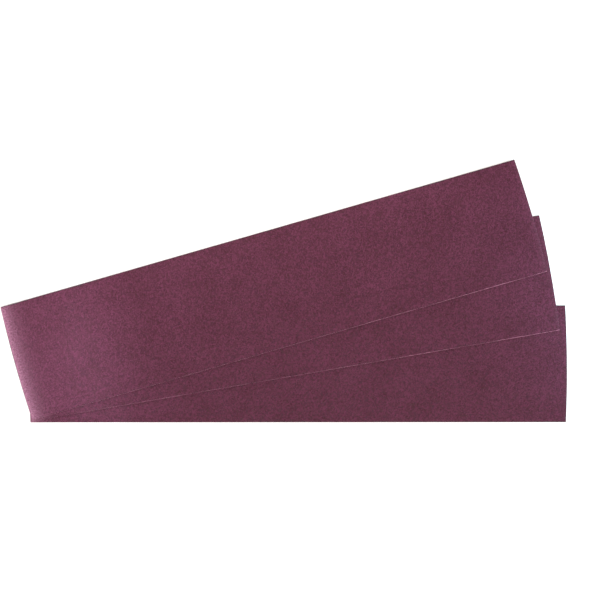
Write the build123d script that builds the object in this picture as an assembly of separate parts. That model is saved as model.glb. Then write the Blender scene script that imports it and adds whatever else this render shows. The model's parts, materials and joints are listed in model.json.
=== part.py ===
from build123d import *
import os

# Three equal strips of coated abrasive, laid on each other and fanned out.
# Origin: centre of the bottom strip's underside. +X runs along the bottom strip,
# +Z is up, away from the backing and towards the grit. Millimetres and degrees.

# one strip, cut from the sheet
strip_length = 230.0  # over the two bowed ends
strip_width = 50.0
end_bow = 0.6  # how far the middle of each cut end stands past its corners

# layers of one strip, from the underside up
backing_thickness = 0.38  # woven cloth, filled with resin
make_coat_thickness = 0.08  # resin that the grain is bedded in
grain_thickness = 0.20  # one layer of grit, whose grains are about that size
size_coat_thickness = 0.08  # resin over the grain

# the fan: every strip turns about one upright axis, just off the corner they share
fan_centre_beyond_end = 2.7  # from the bowed end, outwards
fan_centre_above_edge = 4.3  # from the lower long edge, inwards
middle_fan_angle = 9.75  # middle strip from the bottom strip
top_fan_angle = 6.35  # top strip from the middle strip

layers = {
    "backing": backing_thickness,
    "make_coat": make_coat_thickness,
    "abrasive_grain": grain_thickness,
    "size_coat": size_coat_thickness,
}
strip_thickness = sum(layers.values())

# each strip's angle from the bottom strip, in stacking order
strips = {
    "bottom_strip": 0.0,
    "middle_strip": middle_fan_angle,
    "top_strip": middle_fan_angle + top_fan_angle,
}

fan_centre_x = -strip_length / 2 - fan_centre_beyond_end
fan_centre_y = -strip_width / 2 + fan_centre_above_edge


def strip_outline():
    """A rectangle whose two short ends bow outwards as shallow arcs."""
    end_x = strip_length / 2
    corner_x = end_x - end_bow
    edge_y = strip_width / 2
    with BuildSketch() as outline:
        with BuildLine():
            Line((-corner_x, -edge_y), (corner_x, -edge_y))
            ThreePointArc((corner_x, -edge_y), (end_x, 0), (corner_x, edge_y))
            Line((corner_x, edge_y), (-corner_x, edge_y))
            ThreePointArc((-corner_x, edge_y), (-end_x, 0), (-corner_x, -edge_y))
        make_face()
    return outline.sketch


def layer_solid(thickness, height):
    """One layer of a strip lying square over the origin, its underside at height."""
    return Pos(0, 0, height) * extrude(strip_outline(), amount=thickness)


def fanned(solid, angle):
    """The solid turned by angle about the fan's upright axis."""
    turn = Pos(fan_centre_x, fan_centre_y) * Rot(0, 0, angle)
    return turn * Pos(-fan_centre_x, -fan_centre_y) * solid


os.makedirs("parts", exist_ok=True)

for level, (strip, angle) in enumerate(strips.items()):
    height = level * strip_thickness
    for layer, thickness in layers.items():
        solid = fanned(layer_solid(thickness, height), angle)
        node = f"{strip}_{layer}"
        solid.label = node
        export_step(solid, f"parts/{node}.step")
        height += thickness
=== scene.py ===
import json
import math

import bpy
import numpy as np
from mathutils import Matrix, Vector


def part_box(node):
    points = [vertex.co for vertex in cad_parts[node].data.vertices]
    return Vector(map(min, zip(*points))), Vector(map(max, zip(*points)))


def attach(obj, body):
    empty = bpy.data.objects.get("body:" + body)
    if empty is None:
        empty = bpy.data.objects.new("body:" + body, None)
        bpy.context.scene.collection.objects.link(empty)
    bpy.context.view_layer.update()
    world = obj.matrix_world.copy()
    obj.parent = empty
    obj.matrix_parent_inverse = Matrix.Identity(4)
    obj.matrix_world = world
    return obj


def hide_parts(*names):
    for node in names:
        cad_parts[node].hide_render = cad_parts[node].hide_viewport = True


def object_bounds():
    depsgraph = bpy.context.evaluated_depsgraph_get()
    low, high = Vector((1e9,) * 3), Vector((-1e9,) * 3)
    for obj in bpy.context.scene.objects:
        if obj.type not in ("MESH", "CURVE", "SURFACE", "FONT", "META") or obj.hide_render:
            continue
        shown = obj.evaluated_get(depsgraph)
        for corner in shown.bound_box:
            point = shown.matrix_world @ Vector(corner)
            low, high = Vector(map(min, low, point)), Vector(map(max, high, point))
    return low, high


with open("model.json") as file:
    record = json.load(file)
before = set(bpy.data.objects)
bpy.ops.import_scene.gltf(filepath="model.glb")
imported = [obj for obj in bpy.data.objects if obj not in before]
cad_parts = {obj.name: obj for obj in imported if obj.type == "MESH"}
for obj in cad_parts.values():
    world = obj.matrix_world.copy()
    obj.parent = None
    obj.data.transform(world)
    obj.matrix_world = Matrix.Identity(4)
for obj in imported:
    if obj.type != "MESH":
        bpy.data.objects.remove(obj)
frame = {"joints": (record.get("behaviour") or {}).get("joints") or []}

# Three strips of coated abrasive, laid on each other and fanned out. A strip's points are
# worked out in millimetres, with the strip lying square over the origin, and are then
# turned to its place in the fan.
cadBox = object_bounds()
mm = 0.001
strips = ["bottom_strip", "middle_strip", "top_strip"]  # from the floor up
lowCorner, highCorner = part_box("bottom_strip_backing")
halfLength = (highCorner.x - lowCorner.x) / 2 / mm
halfWidth = (highCorner.y - lowCorner.y) / 2 / mm


def hexColour(code):
    # sRGB hex to the linear colour that shaders take
    channels = [int(code[i:i + 2], 16) / 255 for i in (0, 2, 4)]
    linear = [c / 12.92 if c <= 0.04045 else ((c + 0.055) / 1.055) ** 2.4 for c in channels]
    return (*linear, 1.0)


def perMetre(size):
    # texture scale for a pattern whose features are this many millimetres apart
    return 1 / (size * mm)


noiseSpan = (0.3, 0.7)  # a noise texture seldom strays outside this


def setMiddle():
    low, high = cadBox
    return Vector(((low.x + high.x) / 2, (low.y + high.y) / 2, 0))


camera = {
    "azimuth": -15.0,  # degrees
    "elevation": 88.0,
    "roll": 15.0,
    "distance": 0.6429,  # metres
    "lens": 90.0,  # millimetres
    "sensor": 36.0,
    "clip": (0.01, 20.0),  # metres
    "aim": (0.0067, -0.0040, 0.0),  # from the middle of the set
}


def makeCamera():
    around, above = math.radians(camera["azimuth"]), math.radians(camera["elevation"])
    level = math.cos(above)
    back = Vector((math.sin(around) * level, -math.cos(around) * level, math.sin(above)))
    right = Vector((math.cos(around), math.sin(around), 0))
    upright = Matrix((right, back.cross(right), back)).transposed()
    data = bpy.data.cameras.new("camera")
    data.lens = camera["lens"]
    data.sensor_width = camera["sensor"]
    data.clip_start, data.clip_end = camera["clip"]
    viewer = bpy.data.objects.new("camera", data)
    bpy.context.scene.collection.objects.link(viewer)
    viewer.location = setMiddle() + Vector(camera["aim"]) + back * camera["distance"]
    viewer.rotation_mode = "QUATERNION"
    turned = upright @ Matrix.Rotation(math.radians(camera["roll"]), 3, "Z")
    viewer.rotation_quaternion = turned.to_quaternion()
    bpy.context.scene.camera = viewer


makeCamera()
print("camera placed")


# where the strips lie: a hinge's lower stop squares its strip up on the one beneath, so the
# strip rests that far round from there
def restTurns():
    turns = {strips[0]: Matrix.Identity(4)}
    angle = 0.0
    for joint in frame["joints"]:
        angle -= math.radians(joint["range_deg"][0])
        centre = Vector((joint["pos_m"][0], joint["pos_m"][1], 0))
        turn = Matrix.Rotation(angle, 4, "Z")
        turns[joint["child"]] = Matrix.Translation(centre) @ turn @ Matrix.Translation(-centre)
    return turns


turnOf = restTurns()


def heights(strip, layer):
    # underside and top of one layer, in millimetres
    low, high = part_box(f"{strip}_{layer}")
    return low.z / mm, high.z / mm


def addNode(tree, kind, feeds=None, stops=(), **settings):
    # a node with its settings; a feed is an output to link, or a value to set
    node = tree.nodes.new(kind)
    for name, value in settings.items():
        setattr(node, name, value)
    for i, (place, colour) in enumerate(stops):
        ramp = node.color_ramp.elements
        mark = ramp[i] if i < 2 else ramp.new(place)
        mark.position = place
        mark.color = hexColour(colour)
    for socket, value in (feeds or {}).items():
        if isinstance(value, bpy.types.NodeSocket):
            tree.links.new(value, node.inputs[socket])
        else:
            node.inputs[socket].default_value = value
    return node


def newMaterial(name):
    # an empty material with its shader and the place on the strip that its patterns follow
    material = bpy.data.materials.new(name)
    material.use_nodes = True
    tree = material.node_tree
    tree.nodes.clear()
    shader = addNode(tree, "ShaderNodeBsdfPrincipled")
    addNode(tree, "ShaderNodeOutputMaterial", {"Surface": shader.outputs["BSDF"]})
    place = addNode(tree, "ShaderNodeAttribute", attribute_name="stripPlace").outputs["Vector"]
    return material, tree, shader, place


# painted sheen: the strips' ends are tinted pale, in specks, standing in for the highlight where they
# catch the light
paintedSheen = {
    "paleSheen": "A66F87",
    "speck": 0.7,  # mm; the painted sheen is broken into specks
    "patchy": (0.45, 1.55),  # faintest and strongest painted sheen, as shares of its mean
    # for the left and the right end of each strip: how strong the painted sheen is at its rim, from 0
    # to 1, and
    # # how many millimetres further in that has fallen to about a third
    "ends": {
        "bottom_strip": ((1.0, 3.0), (0.05, 0.9)),
        "middle_strip": ((1.0, 3.0), (0.1, 0.9)),
        "top_strip": ((1.0, 3.0), (0.13, 0.9)),
    },
}


def addPaintedSheen(tree, place, colour):
    # painted sheen: the ends are tinted pale, in specks, standing in for the highlight where they catch
    # the light
    amount = addNode(tree, "ShaderNodeAttribute", attribute_name="paintedSheen").outputs["Fac"]
    specks = addNode(tree, "ShaderNodeTexNoise",
                     {"Vector": place, "Scale": perMetre(paintedSheen["speck"]), "Detail": 2.0})
    thinnest, thickest = paintedSheen["patchy"]
    share = addNode(tree, "ShaderNodeMapRange",
                    {"Value": specks.outputs["Fac"], "From Min": noiseSpan[0], "From Max": noiseSpan[1],
                     "To Min": thinnest, "To Max": thickest})
    paleSheen = addNode(tree, "ShaderNodeMath",
                   {0: amount, 1: share.outputs["Result"]}, operation="MULTIPLY")
    mixed = addNode(tree, "ShaderNodeMix",
                    {0: paleSheen.outputs[0], 6: colour, 7: hexColour(paintedSheen["paleSheen"])}, data_type="RGBA")
    return mixed.outputs[2]


grit = {
    "dark": "3F0D1C",
    "bright": "683048",
    "spacing": 0.55,  # mm; real grains, 0.2 mm, are too fine to show, so they are drawn this coarse
    "cloud": 16.0,  # mm; slow drift of tone over the sheet
    "cloudSpan": (0.2, 0.8),
    "cloudShare": 0.12,
    "roughness": (0.42, 0.78),  # fresh facets and crusted ones
    "scratch": 0.3,  # mm; chips on the facets
    "scratchDepth": 0.1,  # mm
    "scratchStrength": 0.8,
    "ior": 1.76,
    "specular": 0.1,  # pits between grains swallow the rest
    "pit": -0.11,  # mm; lowest and highest points, from the top of the grain layer
    "tip": 0.072,
    "rimTip": 0.03,
    "peaks": 0.5,  # under 1, so that more points stand near the tips than lie in the pits
    "wander": 0.32,  # how far a point strays, as a share of the step
}


def gritMaterial():
    # fused aluminium oxide, graded and electrostatically coated: dull maroon, each grain a
    # little lighter or darker than the next, with chipped facets that scatter the light
    material, tree, shader, place = newMaterial("aluminiumOxideGrit")
    grains = addNode(tree, "ShaderNodeTexVoronoi",
                     {"Vector": place, "Scale": perMetre(grit["spacing"])})
    cloud = addNode(tree, "ShaderNodeTexNoise",
                    {"Vector": place, "Scale": perMetre(grit["cloud"]), "Detail": 1.0})
    thin, thick = grit["cloudSpan"]
    drift = addNode(tree, "ShaderNodeMapRange",
                    {"Value": cloud.outputs["Fac"], "From Min": thin, "From Max": thick,
                     "To Min": -grit["cloudShare"], "To Max": grit["cloudShare"]})
    tone = addNode(tree, "ShaderNodeMath",
                   {0: grains.outputs["Color"], 1: drift.outputs["Result"]}, operation="ADD")
    colour = addNode(tree, "ShaderNodeValToRGB", {"Fac": tone.outputs[0]},
                     stops=[(0.0, grit["dark"]), (1.0, grit["bright"])])
    smoothest, roughest = grit["roughness"]
    rough = addNode(tree, "ShaderNodeMapRange",
                    {"Value": grains.outputs["Color"], "To Min": smoothest, "To Max": roughest})
    chips = addNode(tree, "ShaderNodeTexNoise",
                    {"Vector": place, "Scale": perMetre(grit["scratch"]), "Detail": 3.0})
    bump = addNode(tree, "ShaderNodeBump",
                   {"Height": chips.outputs["Fac"], "Distance": grit["scratchDepth"] * mm,
                    "Strength": grit["scratchStrength"]})
    # the grain's tone, with the painted sheen on the strip ends over it
    tree.links.new(addPaintedSheen(tree, place, colour.outputs["Color"]), shader.inputs["Base Color"])
    tree.links.new(rough.outputs["Result"], shader.inputs["Roughness"])
    tree.links.new(bump.outputs["Normal"], shader.inputs["Normal"])
    shader.inputs["IOR"].default_value = grit["ior"]
    shader.inputs["Specular IOR Level"].default_value = grit["specular"]
    return material


sizeResin = {
    "dark": "3E1626",
    "bright": "512237",
    "patch": 0.8,  # mm
    "ripple": 0.05,  # mm
    "rippleStrength": 0.6,
    "roughness": 0.5,
    "ior": 1.6,
    "specular": 0.1,
    # whether this resin takes the painted sheen on the strip ends
    "takesPaintedSheen": True,
    "sunk": 0.03,  # mm that the film lies under the grain layer's top
    "waves": 0.02,  # mm that the film rises and falls
    "film": 0.05,  # mm from the lowest waves to the film's underside
    "step": 2,  # points are this many times further apart than the grit's
}
makeResin = {
    "dark": "2E1722",
    "bright": "452432",
    "patch": 1.2,  # mm
    "ripple": 0.04,  # mm
    "rippleStrength": 0.6,
    "roughness": 0.45,
    "ior": 1.6,
    "specular": 0.25,
    "takesPaintedSheen": False,
}


def resinMaterial(name, resin):
    # a resin finish, with the pattern and the tones of its dictionary
    material, tree, shader, place = newMaterial(name)
    patches = addNode(tree, "ShaderNodeTexNoise",
                      {"Vector": place, "Scale": perMetre(resin["patch"]), "Detail": 3.0})
    colour = addNode(tree, "ShaderNodeValToRGB", {"Fac": patches.outputs["Fac"]},
                     stops=[(noiseSpan[0], resin["dark"]), (noiseSpan[1], resin["bright"])])
    bump = addNode(tree, "ShaderNodeBump",
                   {"Height": patches.outputs["Fac"], "Distance": resin["ripple"] * mm,
                    "Strength": resin["rippleStrength"]})
    tone = colour.outputs["Color"]
    # the size film gets the painted sheen on the ends too
    if resin["takesPaintedSheen"]:
        tone = addPaintedSheen(tree, place, tone)
    tree.links.new(tone, shader.inputs["Base Color"])
    tree.links.new(bump.outputs["Normal"], shader.inputs["Normal"])
    shader.inputs["Roughness"].default_value = resin["roughness"]
    shader.inputs["IOR"].default_value = resin["ior"]
    shader.inputs["Specular IOR Level"].default_value = resin["specular"]
    return material


def sizeResinMaterial():
    # phenolic resin roller-coated over the grain: fills the hollows, darker and less matt
    return resinMaterial("phenolicSizeResin", sizeResin)


def makeResinMaterial():
    # the same resin, bare where the blade broke the grit away: a thin dark margin
    return resinMaterial("phenolicMakeResin", makeResin)


cloth = {
    "thread": 1.4,  # mm; real threads, 0.35 mm apart, are too fine to show and are drawn this coarse
    "section": 1.9,  # how round a thread's crown is, 2 being a full half circle
    "relief": 0.06,  # mm from a thread's crown to the gap beside it
    "uneven": (0.85, 1.0),  # shares of that relief
    "fray": 0.03,  # mm that cut threads stand out or in
    "gap": "8C6C62",
    "crown": "B89F93",
    "tones": (0.4, 1.0),  # where the two colours lie on the ramp
    "cutCrown": 0.6,  # how much of a crown the cut threads show
    "soaked": "B4748B",  # the maroon resin soaks into the upper side
    "soakedFrom": 0.22,  # mm above the underside
    "soakedBy": 0.36,
    "slub": 2.5,  # mm; thick and thin places in the yarn
    "fibre": 0.35,  # mm
    "fibreDepth": 0.05,  # mm
    "fibreStrength": 0.6,
    "roughness": 0.9,
    "specular": 0.2,
    "sheen": 0.15,
}


def clothMaterial():
    # cotton cloth, plain weave, filled with resin: matt, warm and pale, stained on the grit side
    material, tree, shader, place = newMaterial("cottonBackingCloth")
    slub = addNode(tree, "ShaderNodeTexNoise",
                   {"Vector": place, "Scale": perMetre(cloth["slub"]), "Detail": 4.0})
    crowns = addNode(tree, "ShaderNodeAttribute", attribute_name="crown")
    tone = addNode(tree, "ShaderNodeMath",
                   {0: slub.outputs["Fac"], 1: crowns.outputs["Fac"]}, operation="ADD")
    colour = addNode(tree, "ShaderNodeValToRGB", {"Fac": tone.outputs[0]},
                     stops=[(cloth["tones"][0], cloth["gap"]), (cloth["tones"][1], cloth["crown"])])
    depth = addNode(tree, "ShaderNodeSeparateXYZ", {0: place})
    soak = addNode(tree, "ShaderNodeMapRange",
                   {"Value": depth.outputs["Z"], "From Min": cloth["soakedFrom"] * mm,
                    "From Max": cloth["soakedBy"] * mm})
    stained = addNode(tree, "ShaderNodeMix",
                      {0: soak.outputs["Result"], 6: colour.outputs["Color"],
                       7: hexColour(cloth["soaked"])}, data_type="RGBA")
    fibres = addNode(tree, "ShaderNodeTexNoise",
                     {"Vector": place, "Scale": perMetre(cloth["fibre"]), "Detail": 3.0})
    bump = addNode(tree, "ShaderNodeBump",
                   {"Height": fibres.outputs["Fac"], "Distance": cloth["fibreDepth"] * mm,
                    "Strength": cloth["fibreStrength"]})
    tree.links.new(stained.outputs[2], shader.inputs["Base Color"])
    tree.links.new(bump.outputs["Normal"], shader.inputs["Normal"])
    shader.inputs["Roughness"].default_value = cloth["roughness"]
    shader.inputs["Specular IOR Level"].default_value = cloth["specular"]
    shader.inputs["Sheen Weight"].default_value = cloth["sheen"]
    return material


gritFinish = gritMaterial()
sizeFinish = sizeResinMaterial()
makeFinish = makeResinMaterial()
clothFinish = clothMaterial()
print("materials made")

# the cuts: widths torn away beside the lower, upper, left and right cut of each strip, in mm
cuts = {
    "endBow": 0.6,  # how far the middle of a cut end stands past its corners
    "step": 0.35,  # spacing of points along the cuts and over the grit
    "quickStep": 3,
    "bareCloth": {
        "bottom_strip": (0.01, 0.01, 0.02, 0.01),
        "middle_strip": (0.10, 0.01, 0.02, 0.02),
        "top_strip": (0.085, 0.01, 0.02, 0.05),
    },
    "bareResin": {
        "bottom_strip": (0.16, 0.20, 0.10, 0.16),
        "middle_strip": (0.02, 0.20, 0.10, 0.05),
        "top_strip": (0.02, 0.20, 0.10, 0.05),
    },
    "growth": (0.2, 1.3),  # the lower cut is torn more and more towards its far end
    "waves": (9.0, 0.35, 1.65),  # mm between slow changes of width, and their least and largest share
    "nicks": (1.3, 0.4, 1.6),  # the same for short ones
    "chipChance": 0.015,  # for each point along a cut
    "chipShare": (0.3, 1.6),
    "sharp": 50.0,  # degrees between faces from which an edge of a smooth piece stays sharp
}
stripSeeds = {"bottom_strip": 21, "middle_strip": 22, "top_strip": 23}
pieceSeeds = {"cuts": 0, "cloth": 100, "grit": 200, "film": 300}
patternsApart = 0.4  # metres between the strips' patterns, so that no two strips are alike

# where a piece's faces lie on its texture, as shares of its height: the relief in two rows,
# the left half of the strip under the right half, then the flat side, then the cut sides
texture = {
    "relief": (0.0, 0.80),
    "flat": (0.81, 0.93),
    "cuts": (0.94, 1.0),
    "gap": 1.0,  # mm left free beside each half of the relief
    "rowGap": 0.01,  # share of a row left free above and below
}


def randomFor(strip, piece):
    return np.random.default_rng(stripSeeds[strip] + pieceSeeds[piece])


def wavering(place, length, apart, least, largest, rng):
    # random shares at even places along a cut, joined by straight lines
    marks = int(length / apart) + 2
    return np.interp(place, np.linspace(0, length, marks), rng.uniform(least, largest, marks))


def ragged(count, length, rng):
    # about 1 on average: slow waves and short nicks along a torn cut, and a few deep chips
    place = np.linspace(0, length, count)
    slow = wavering(place, length, *cuts["waves"], rng)
    short = wavering(place, length, *cuts["nicks"], rng)
    chips = (rng.random(count) < cuts["chipChance"]) * rng.uniform(*cuts["chipShare"], count)
    return slow * short + chips


def tornWidths(strip, counts):
    # beside each cut: what is torn off the resin bed, and off the grit above it
    rng = randomFor(strip, "cuts")
    along, across = counts
    growth = np.linspace(*cuts["growth"], along)
    found = []
    for widths in (cuts["bareCloth"][strip], cuts["bareResin"][strip]):
        lower = widths[0] * ragged(along, 2 * halfLength, rng) * growth
        upper = widths[1] * ragged(along, 2 * halfLength, rng)
        left = widths[2] * ragged(across, 2 * halfWidth, rng)
        right = widths[3] * ragged(across, 2 * halfWidth, rng)
        found.append([lower, upper, left, right])
    offBed, offGrit = found
    return offBed, [a + b for a, b in zip(offBed, offGrit)]


def stripGrid(counts, torn=None, wander=0.0, rng=None):
    # x and y of points over a strip, in rows along it, inside the torn margins
    along, across = counts
    a = np.linspace(0, 1, along)[None, :].repeat(across, 0)
    b = np.linspace(0, 1, across)[:, None].repeat(along, 1)
    if wander:
        inner = np.zeros((across, along))
        inner[1:-1, 1:-1] = 1
        a = a + inner * rng.uniform(-wander, wander, a.shape) / (along - 1)
        b = b + inner * rng.uniform(-wander, wander, b.shape) / (across - 1)
    lower, upper, left, right = torn or (0.0, 0.0, np.zeros(across), np.zeros(across))
    end = halfLength - cuts["endBow"] * (2 * b - 1) ** 2
    leftX, rightX = left[:, None] - end, end - right[:, None]
    lowerY, upperY = lower - halfWidth, halfWidth - upper
    return leftX + (rightX - leftX) * a, lowerY + (upperY - lowerY) * b


def rimOf(counts):
    # the grid's outer points, counter-clockwise from the lower left corner
    along, across = counts
    index = np.arange(along * across).reshape(across, along)
    return np.concatenate([index[0, :-1], index[:-1, -1], index[-1, :0:-1], index[:0:-1, 0]])


def gridTriangles(counts, rng):
    # each cell is split along one diagonal or the other, at random
    along, across = counts
    index = np.arange(along * across).reshape(across, along)
    a, b = index[:-1, :-1].ravel(), index[:-1, 1:].ravel()
    c, d = index[1:, 1:].ravel(), index[1:, :-1].ravel()
    slant = (rng.random(len(a)) < 0.5)[:, None]
    first = np.where(slant, np.stack([a, b, c], 1), np.stack([a, b, d], 1))
    second = np.where(slant, np.stack([a, c, d], 1), np.stack([b, c, d], 1))
    return np.concatenate([first, second])


def reliefSpots(corners):
    low, high = texture["relief"]
    rightHalf = corners[..., 0].mean(-1, keepdims=True) > 0
    gap, rowGap = texture["gap"], texture["rowGap"]
    across = (corners[..., 0] + np.where(rightHalf, gap, halfLength + gap)) / (halfLength + 2 * gap)
    up = rowGap + (1 - 2 * rowGap) * (corners[..., 1] + halfWidth) / (2 * halfWidth)
    return np.stack([across, low + (high - low) * (up + rightHalf) / 2], -1)


def flatSpots(corners):
    low, high = texture["flat"]
    up = (corners[:, 1] + halfWidth) / (2 * halfWidth)
    return np.stack([(corners[:, 0] + halfLength) / (2 * halfLength), low + (high - low) * up], -1)


def cutSpots(count, loop, loops):
    # quads round the rim: near, far, next far, next near
    low, high = texture["cuts"]
    here, after = np.arange(count) / count, np.arange(1, count + 1) / count
    near = np.full(count, low + (high - low) * loop / (loops - 1))
    far = np.full(count, low + (high - low) * (loop + 1) / (loops - 1))
    return np.stack([here, near, here, far, after, far, after, near], -1).reshape(count, 4, 2)


def slab(counts, x, y, relief, flat, reliefUp, rng, waist=None):
    # a closed slab with a relief on one face and the other face flat; waist is the height
    # and the shift of one more loop of points round its cut sides
    top = np.stack([x.ravel(), y.ravel(), relief.ravel()], 1)
    rim = rimOf(counts)
    points, loops = [top], [rim]
    for height, shift in ([waist] if waist else []) + [(flat, 0.0)]:
        loop = top[rim]
        loop[:, :2] += shift
        loop[:, 2] = height
        loops.append(sum(len(p) for p in points) + np.arange(len(rim)))
        points.append(loop)
    points = np.concatenate(points)
    triangles = gridTriangles(counts, rng)
    faces, spots = [triangles], [reliefSpots(points[triangles])]
    for i, (near, far) in enumerate(zip(loops, loops[1:])):
        faces.append(np.stack([near, far, np.roll(far, -1), np.roll(near, -1)], 1))
        spots.append(cutSpots(len(rim), i, len(loops)))
    faces.append(loops[-1][None, ::-1])
    spots.append(flatSpots(points[loops[-1]])[None, ::-1])
    if not reliefUp:
        faces, spots = [f[:, ::-1] for f in faces], [s[:, ::-1] for s in spots]
    return points, faces, spots


def paintedSheenAt(strip, x, y):
    # how much painted sheen a strip takes at a point, fading inwards from its two bowed ends
    end = halfLength - cuts["endBow"] * (y / halfWidth) ** 2
    (left, leftReach), (right, rightReach) = paintedSheen["ends"][strip]
    return left * np.exp(-(end + x) / leftReach) + right * np.exp(-(end - x) / rightReach)


def makePiece(strip, suffix, shape, material, node, smooth):
    # puts the shape in its place in the fan, and says what it rides on and stands for
    points, faces, spots = shape
    name = f"{strip}_{suffix}"
    turn = np.array(turnOf[strip])
    placed = points * mm @ turn[:3, :3].T + turn[:3, 3]
    mesh = bpy.data.meshes.new(name)
    mesh.from_pydata(placed, [], [face for group in faces for face in group.tolist()])
    # the strips' patterns are kept apart, and count height from the strip's own underside
    underside = heights(strip, "backing")[0] * mm
    own = points * mm + np.array([strips.index(strip) * patternsApart, 0, -underside])
    place = mesh.attributes.new("stripPlace", "FLOAT_VECTOR", "POINT")
    place.data.foreach_set("vector", own.astype(np.float32).ravel())
    # painted sheen at the strip ends, stored per point
    sheenLayer = mesh.attributes.new("paintedSheen", "FLOAT", "POINT")
    sheenLayer.data.foreach_set("value", paintedSheenAt(strip, points[:, 0], points[:, 1]).astype(np.float32))
    layer = mesh.uv_layers.new(name="OFBake")
    flatSpot = np.concatenate([s.reshape(-1, 2) for s in spots]).astype(np.float32)
    layer.uv.foreach_set("vector", flatSpot.ravel())
    mesh.polygons.foreach_set("use_smooth", np.full(len(mesh.polygons), smooth))
    if smooth:
        mesh.set_sharp_from_angle(angle=math.radians(cuts["sharp"]))
    mesh.materials.append(material)
    mesh.validate()
    mesh.update()
    piece = bpy.data.objects.new(name, mesh)
    bpy.context.scene.collection.objects.link(piece)
    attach(piece, strip)
    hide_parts(f"{strip}_{node}")
    return piece


def countsFor(step):
    return round(2 * halfLength / step) + 1, round(2 * halfWidth / step) + 1


step = cuts["step"] * 1
counts = countsFor(step)


def weave(x, y):
    # plain weave, from 0 in the gaps to 1 on the crowns: threads pass over and under in turn
    u, v = x / cloth["thread"], y / cloth["thread"]
    sign = np.where((np.floor(u) + np.floor(v)) % 2 == 0, 1, -1)
    acrossWarp, acrossWeft = u - np.floor(u) - 0.5, v - np.floor(v) - 0.5
    section = cloth["section"]
    warp = np.sqrt(1 - (section * acrossWarp) ** 2) + sign * np.cos(np.pi * acrossWeft)
    weft = np.sqrt(1 - (section * acrossWeft) ** 2) - sign * np.cos(np.pi * acrossWarp)
    return np.clip(np.maximum(warp, weft) / 2, 0, 1)


def makeCloth(strip):
    low, high = heights(strip, "backing")
    rng = randomFor(strip, "cloth")
    x, y = stripGrid(counts)
    woven = weave(x, y)
    relief = low + cloth["relief"] * (1 - woven) * rng.uniform(*cloth["uneven"], x.shape)
    fray = rng.uniform(-cloth["fray"], cloth["fray"], (len(rimOf(counts)), 2))
    shape = slab(counts, x, y, relief, high, False, rng, ((low + high) / 2, fray))
    piece = makePiece(strip, "cloth", shape, clothFinish, "backing", True)
    crown = piece.data.attributes.new("crown", "FLOAT", "POINT")
    crowned = np.full(len(shape[0]), cloth["cutCrown"])
    crowned[:woven.size] = woven.ravel()
    crown.data.foreach_set("value", crowned.astype(np.float32))


def makeResinBed(strip, torn):
    low, high = heights(strip, "make_coat")
    x, y = stripGrid(counts, torn)
    rim = rimOf(counts)
    edge = np.stack([x.ravel()[rim], y.ravel()[rim]], 1)
    points = np.concatenate([np.insert(edge, 2, high, 1), np.insert(edge, 2, low, 1)])
    upper, lower = np.arange(len(rim)), np.arange(len(rim)) + len(rim)
    sides = np.stack([upper, lower, np.roll(lower, -1), np.roll(upper, -1)], 1)
    faces = [sides, upper[None], lower[None, ::-1]]
    lift = np.array([0, texture["relief"][0] - texture["flat"][0]])
    spots = [cutSpots(len(rim), 0, 2), (flatSpots(edge) + lift)[None], flatSpots(edge[::-1])[None]]
    shape = (points, faces, spots)
    makePiece(strip, "resin_bed", shape, makeFinish, "make_coat", False)


def makeGrit(strip, torn):
    low, high = heights(strip, "abrasive_grain")
    rng = randomFor(strip, "grit")
    x, y = stripGrid(counts, torn, grit["wander"], rng)
    relief = high + grit["pit"] + (grit["tip"] - grit["pit"]) * rng.random(x.shape) ** grit["peaks"]
    for side in (np.s_[[0, -1], :], np.s_[:, [0, -1]]):
        relief[side] = high + rng.uniform(grit["pit"], grit["rimTip"], relief[side].shape)
    shape = slab(counts, x, y, relief, low, True, rng)
    return makePiece(strip, "grit", shape, gritFinish, "abrasive_grain",
                     False)


def makeSizeFilm(strip, torn):
    hollow = heights(strip, "size_coat")[0] - sizeResin["sunk"]
    rng = randomFor(strip, "film")
    coarse = countsFor(step * sizeResin["step"])
    thinned = [np.interp(np.linspace(0, 1, n), np.linspace(0, 1, len(t)), t)
               for n, t in zip((coarse[0], coarse[0], coarse[1], coarse[1]), torn)]
    x, y = stripGrid(coarse, thinned)
    relief = hollow + rng.uniform(0, sizeResin["waves"], x.shape)
    shape = slab(coarse, x, y, relief, hollow - sizeResin["film"], True, rng)
    makePiece(strip, "size_resin", shape, sizeFinish, "size_coat", True)


beneath = None
for strip in strips:
    offBed, offGrit = tornWidths(strip, counts)
    makeCloth(strip)
    makeResinBed(strip, offBed)
    beneath = makeGrit(strip, offGrit)
    makeSizeFilm(strip, offGrit)
    print("strip made:", strip)

studio = {
    "floorSize": 1.3,  # metres; further out the lamps would leave it grey
    "floorDrop": 0.03,  # mm below the strips, so that the two never share a plane
    "floor": "F4F3F1",
    "floorRoughness": 0.9,
    "floorSpecular": 0.1,
    "floorGlow": 0.25,  # a light table: the card stays white right up to the strips
    "sky": "FFFFFF",
    "skyStrength": 0.32,
    "backdrop": 1.0,  # how bright the tent looks behind the floor
    "skyName": "whiteTent",
}
# soft lamps: each one's place and the point that it faces, in millimetres over the top strip
# as it lies square over the origin, then its length, depth, turn in degrees, colour and watts
lamps = {
    "keyLamp": ((0, -600, 1900), (0, 0, 0), 800, 800, 0, "FFFFFF", 33),
    "endLamp": ((-90, -6, 28), (-90, -6, 0), 56, 12, 90, "DCF4FF", 0.0122),
    "upperLamp": ((0, 62, 65), (0, 10, 0), 230, 30, 0, "FFFFFF", 0.06),
    "farEndLamp": ((134, -41, 30), (110, -34, 0), 100, 12, 84, "B8ECFF", 0.020),
}


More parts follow.
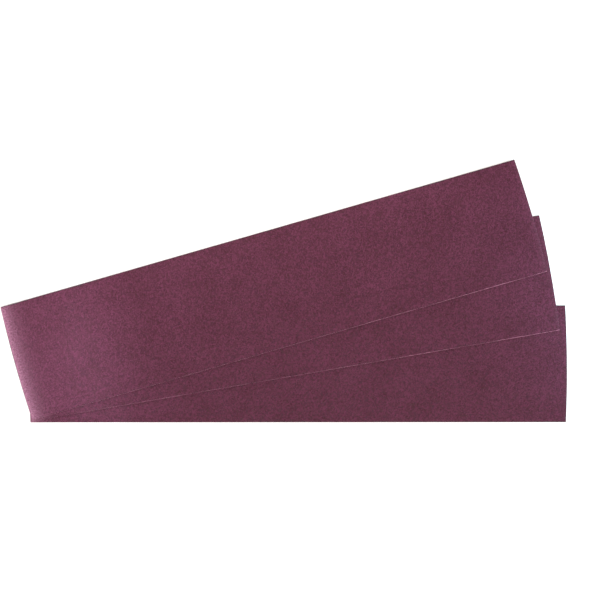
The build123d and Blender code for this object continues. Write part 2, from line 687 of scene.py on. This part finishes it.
def makeFloor():
    # matt white card, lit a little from behind
    half, drop = studio["floorSize"] / 2, -studio["floorDrop"] * mm
    mesh = bpy.data.meshes.new("floor")
    corners = [(-half, -half, drop), (half, -half, drop), (half, half, drop), (-half, half, drop)]
    mesh.from_pydata(corners, [], [(0, 1, 2, 3)])
    material = bpy.data.materials.new("whiteCard")
    material.use_nodes = True
    shader = material.node_tree.nodes["Principled BSDF"]
    shader.inputs["Base Color"].default_value = hexColour(studio["floor"])
    shader.inputs["Roughness"].default_value = studio["floorRoughness"]
    shader.inputs["Specular IOR Level"].default_value = studio["floorSpecular"]
    shader.inputs["Emission Color"].default_value = hexColour(studio["floor"])
    shader.inputs["Emission Strength"].default_value = studio["floorGlow"]
    mesh.materials.append(material)
    floor = bpy.data.objects.new("floor", mesh)
    bpy.context.scene.collection.objects.link(floor)


def addLamp(name, spot, aim, length, depth, turn, colour, power):
    place = turnOf["top_strip"]
    data = bpy.data.lights.new(name, "AREA")
    data.shape = "RECTANGLE"
    data.energy, data.size, data.size_y = power, length * mm, depth * mm
    data.color = hexColour(colour)[:3]
    lamp = bpy.data.objects.new(name, data)
    bpy.context.scene.collection.objects.link(lamp)
    lamp.location = place @ (Vector(spot) * mm)
    back = (Vector(spot) - Vector(aim)).normalized()
    along = Vector((math.cos(math.radians(turn)), math.sin(math.radians(turn)), 0))
    along = (along - back * along.dot(back)).normalized()
    facing = Matrix((along, back.cross(along), back)).transposed()
    lamp.rotation_mode = "QUATERNION"
    lamp.rotation_quaternion = (place.to_3x3() @ facing).to_quaternion()
    lamp.visible_camera = False


def makeSky():
    # a dim sky fills the shadows, while what shows behind the floor stays white
    world = bpy.data.worlds.new(studio["skyName"])
    world.use_nodes = True
    sky = world.node_tree.nodes["Background"]
    sky.inputs["Color"].default_value = hexColour(studio["sky"])
    seen = addNode(world.node_tree, "ShaderNodeLightPath").outputs["Is Camera Ray"]
    strength = addNode(world.node_tree, "ShaderNodeMapRange",
                       {"Value": seen, "To Min": studio["skyStrength"], "To Max": studio["backdrop"]})
    world.node_tree.links.new(strength.outputs["Result"], sky.inputs["Strength"])
    bpy.context.scene.world = world


makeFloor()
makeSky()
for name, settings in lamps.items():
    addLamp(name, *settings)
bpy.context.scene.view_settings.view_transform = "Standard"
print("studio made")
